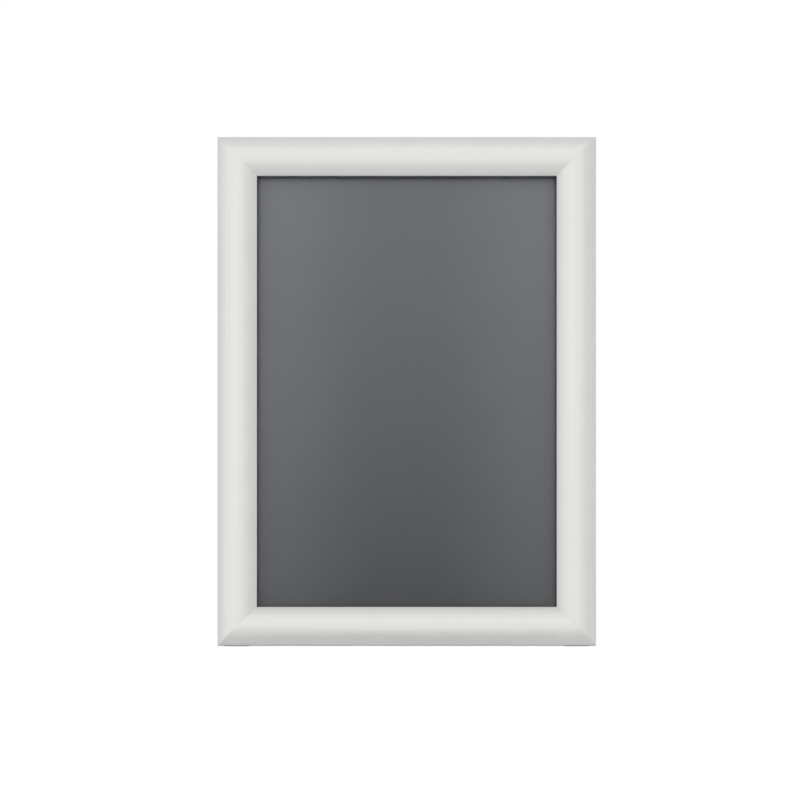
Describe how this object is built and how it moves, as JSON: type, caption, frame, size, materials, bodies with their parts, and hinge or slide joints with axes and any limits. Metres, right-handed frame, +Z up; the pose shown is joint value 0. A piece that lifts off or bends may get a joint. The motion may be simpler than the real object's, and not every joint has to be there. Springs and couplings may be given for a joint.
{
  "type": "sandwich board",
  "caption": "Counter-top double-sided sandwich board: hinged snap-open poster leaves with convex mitred rails, slotted folding stays and rubber feet.",
  "frame": {"origin": "on the ground plane, midway between the two leaves and midway across the board", "axes": "+Z up, +X across the board, -Y the way the front leaf faces"},
  "size_m": [0.24, 0.1386, 0.3228],
  "materials": {
    "satin_cover": "satin silver anodised extrusion",
    "mill_base": "satin silver anodised extrusion",
    "grey_panel": "matte mid-grey plastic sheet",
    "antiglare_sheet": "clear plastic with a matte anti-glare face",
    "zinc_keys": "zinc-plated pressed steel",
    "spring_steel": "blued spring steel strip",
    "hinge_alloy": "satin silver anodised extrusion",
    "screw_steel": "zinc-plated steel",
    "bracket_steel": "zinc-plated pressed steel",
    "rivet_alloy": "plain aluminium rivet",
    "pin_steel": "turned steel",
    "stay_steel": "zinc-plated steel strip",
    "rubber_feet": "pale grey rubber pad"
  },
  "bodies": {
    "front_leaf": {"front_base_top": "mill_base", "front_base_bottom": "mill_base", "front_base_left": "mill_base", "front_base_right": "mill_base", "front_back_panel": "grey_panel", "front_antiglare_sheet": "antiglare_sheet", "front_corner_keys": "zinc_keys", "front_snap_springs": "spring_steel", "front_hinge_blocks": "hinge_alloy", "front_hinge_screws": "screw_steel", "front_stay_brackets": "bracket_steel", "front_stay_rivets": "rivet_alloy", "front_feet": "rubber_feet", "hinge_pins": "pin_steel", "stay_studs": "pin_steel"},
    "rear_leaf": {"rear_base_top": "mill_base", "rear_base_bottom": "mill_base", "rear_base_left": "mill_base", "rear_base_right": "mill_base", "rear_back_panel": "grey_panel", "rear_antiglare_sheet": "antiglare_sheet", "rear_corner_keys": "zinc_keys", "rear_snap_springs": "spring_steel", "rear_hinge_blocks": "hinge_alloy", "rear_hinge_screws": "screw_steel", "rear_stay_brackets": "bracket_steel", "rear_stay_rivets": "rivet_alloy", "rear_feet": "rubber_feet", "stay_pivot_pins": "pin_steel"},
    "left_stay": {"left_stay": "stay_steel"},
    "right_stay": {"right_stay": "stay_steel"},
    "front_cover_top": {"front_cover_top": "satin_cover"},
    "front_cover_bottom": {"front_cover_bottom": "satin_cover"},
    "front_cover_left": {"front_cover_left": "satin_cover"},
    "front_cover_right": {"front_cover_right": "satin_cover"},
    "rear_cover_top": {"rear_cover_top": "satin_cover"},
    "rear_cover_bottom": {"rear_cover_bottom": "satin_cover"},
    "rear_cover_left": {"rear_cover_left": "satin_cover"},
    "rear_cover_right": {"rear_cover_right": "satin_cover"}
  },
  "joints": [
    {"name": "fold", "type": "hinge", "parent": "front_leaf", "child": "rear_leaf", "pos_m": [0, 0, 0.31758], "axis": [-1, 0, 0], "range_deg": [0, 19]},
    {"name": "front_cover_top_snap", "type": "hinge", "parent": "front_leaf", "child": "front_cover_top", "pos_m": [0, -0.01082, 0.31959], "axis": [-1, 0, 0], "range_deg": [0, 80]},
    {"name": "front_cover_bottom_snap", "type": "hinge", "parent": "front_leaf", "child": "front_cover_bottom", "pos_m": [0, -0.06386, 0.0026], "axis": [1, 0, 0], "range_deg": [0, 80]},
    {"name": "front_cover_left_snap", "type": "hinge", "parent": "front_leaf", "child": "front_cover_left", "pos_m": [-0.1172, -0.03734, 0.16109], "axis": [0, -0.165, -0.9863], "range_deg": [0, 80]},
    {"name": "front_cover_right_snap", "type": "hinge", "parent": "front_leaf", "child": "front_cover_right", "pos_m": [0.1172, -0.03734, 0.16109], "axis": [0, 0.165, 0.9863], "range_deg": [0, 80]},
    {"name": "rear_cover_top_snap", "type": "hinge", "parent": "rear_leaf", "child": "rear_cover_top", "pos_m": [0, 0.01082, 0.31959], "axis": [1, 0, 0], "range_deg": [0, 80]},
    {"name": "rear_cover_bottom_snap", "type": "hinge", "parent": "rear_leaf", "child": "rear_cover_bottom", "pos_m": [0, 0.06386, 0.0026], "axis": [-1, 0, 0], "range_deg": [0, 80]},
    {"name": "rear_cover_left_snap", "type": "hinge", "parent": "rear_leaf", "child": "rear_cover_left", "pos_m": [0.1172, 0.03734, 0.16109], "axis": [0, 0.165, -0.9863], "range_deg": [0, 80]},
    {"name": "rear_cover_right_snap", "type": "hinge", "parent": "rear_leaf", "child": "rear_cover_right", "pos_m": [-0.1172, 0.03734, 0.16109], "axis": [0, -0.165, 0.9863], "range_deg": [0, 80]},
    {"name": "left_stay_swing", "type": "hinge", "parent": "rear_leaf", "child": "left_stay", "pos_m": [-0.10515, 0.01584, 0.22289], "axis": [1, 0, 0], "range_deg": [0, 30.99]},
    {"name": "right_stay_swing", "type": "hinge", "parent": "rear_leaf", "child": "right_stay", "pos_m": [0.10515, 0.01584, 0.22289], "axis": [1, 0, 0], "range_deg": [0, 30.99]}
  ],
  "couplings": [
    {"joint": "left_stay_swing", "follows": "fold", "ratio": 1.6307},
    {"joint": "right_stay_swing", "follows": "fold", "ratio": 1.6307}
  ]
}
